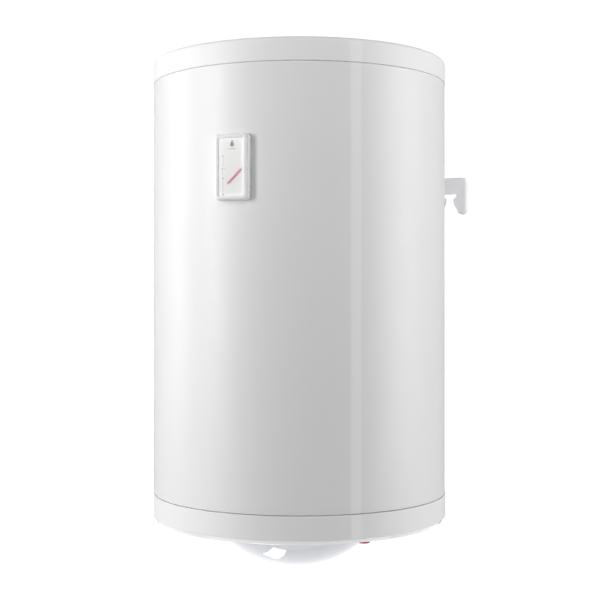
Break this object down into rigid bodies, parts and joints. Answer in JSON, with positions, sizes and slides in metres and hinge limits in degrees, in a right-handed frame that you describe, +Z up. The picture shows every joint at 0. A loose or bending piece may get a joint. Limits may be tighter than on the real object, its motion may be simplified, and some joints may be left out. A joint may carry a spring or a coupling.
{
  "type": "wall-hung electric storage water heater",
  "caption": "Upright round electric storage water heater on a wall bracket, with a front dial thermometer, a domed flange cover underneath and two pipe ends that point down.",
  "frame": {"origin": "on the wall plane, midway between the two hanging screws and level with their centres", "axes": "+Z up, +Y into the wall, so the front faces -Y, +X to the right seen from the front"},
  "size_m": [0.456, 0.472, 0.799],
  "materials": {
    "mantle_enamel": "white stove enamel, gloss",
    "cap_plastic": "white moulded, fine satin grain",
    "cover_plastic": "white moulded, high gloss",
    "trim_plastic": "white moulded, satin",
    "dial_card": "off-white printed dial",
    "needle_red": "red paint",
    "foam": "rigid cellular foam",
    "tank_steel": "vitreous enamel on steel",
    "zinc_steel": "zinc-plated steel",
    "copper_alloy": "drawn copper alloy",
    "sensor_aluminium": "drawn aluminium",
    "magnesium": "cast magnesium",
    "seal_rubber": "black rubber",
    "switch_plastic": "black moulded",
    "diffuser_plastic": "natural moulded",
    "hot_red": "red moulded",
    "cold_blue": "blue moulded",
    "lamp_lens": "amber-red translucent",
    "wire_brown": "brown insulation",
    "wire_blue": "blue insulation",
    "wire_green": "green and yellow insulation"
  },
  "bodies": {
    "heater": {"anode_nut": "zinc_steel", "anode_rod": "magnesium", "anode_washer": "seal_rubber", "bimetal_spiral": "copper_alloy", "bottom_cap": "cap_plastic", "bracket_bolts": "zinc_steel", "cold_inlet_pipe": "zinc_steel", "cold_marker_ring": "cold_blue", "cold_pipe_plug": "cold_blue", "cover_screws": "zinc_steel", "earth_screw": "zinc_steel", "earth_wire": "wire_green", "element_wires": "wire_brown", "flange_cover": "cover_plastic", "flange_gasket": "seal_rubber", "flange_neck": "tank_steel", "flange_nuts": "zinc_steel", "flange_plate": "zinc_steel", "flange_studs": "zinc_steel", "gland_body": "switch_plastic", "gland_locknut": "switch_plastic", "hanger_nuts": "zinc_steel", "hanger_posts": "zinc_steel", "heating_element": "copper_alloy", "hot_marker_ring": "hot_red", "hot_outlet_pipe": "zinc_steel", "hot_pipe_plug": "hot_red", "inlet_diffuser": "diffuser_plastic", "insulation_foam": "foam", "lamp_wires": "wire_blue", "live_wire": "wire_brown", "lower_spacer": "cap_plastic", "mantle": "mantle_enamel", "neutral_wire": "wire_blue", "pilot_lamp_holder": "switch_plastic", "pilot_lamp_lens": "lamp_lens", "sensor_cup": "sensor_aluminium", "tank_bottom_end": "tank_steel", "tank_shell": "tank_steel", "tank_top_end": "tank_steel", "terminal_block": "switch_plastic", "terminal_screws": "zinc_steel", "thermometer_dial": "dial_card", "thermometer_frame": "trim_plastic", "thermostat_body": "switch_plastic", "thermostat_probe": "copper_alloy", "thermostat_sheath": "copper_alloy", "top_cap": "cap_plastic", "wall_bracket": "mantle_enamel"},
    "knob": {"thermostat_knob": "cover_plastic", "thermostat_shaft": "zinc_steel"},
    "needle": {"thermometer_needle": "needle_red", "needle_spindle": "zinc_steel"},
    "reset": {"reset_button": "hot_red"}
  },
  "joints": [
    {"name": "knob_turn", "type": "hinge", "parent": "heater", "child": "knob", "pos_m": [0, -0.248, -0.575], "axis": [0, 0, 1], "range_deg": [0, 270]},
    {"name": "needle_swing", "type": "hinge", "parent": "heater", "child": "needle", "pos_m": [0.0166, -0.4691, 0.0114], "axis": [0, 1, 0], "range_deg": [-8, 78], "stiffness_Nm_per_rad": 0.002},
    {"name": "reset_press", "type": "slide", "parent": "heater", "child": "reset", "axis": [0, 0, 1], "range_m": [0, 0.002], "stiffness_N_per_m": 400}
  ]
}
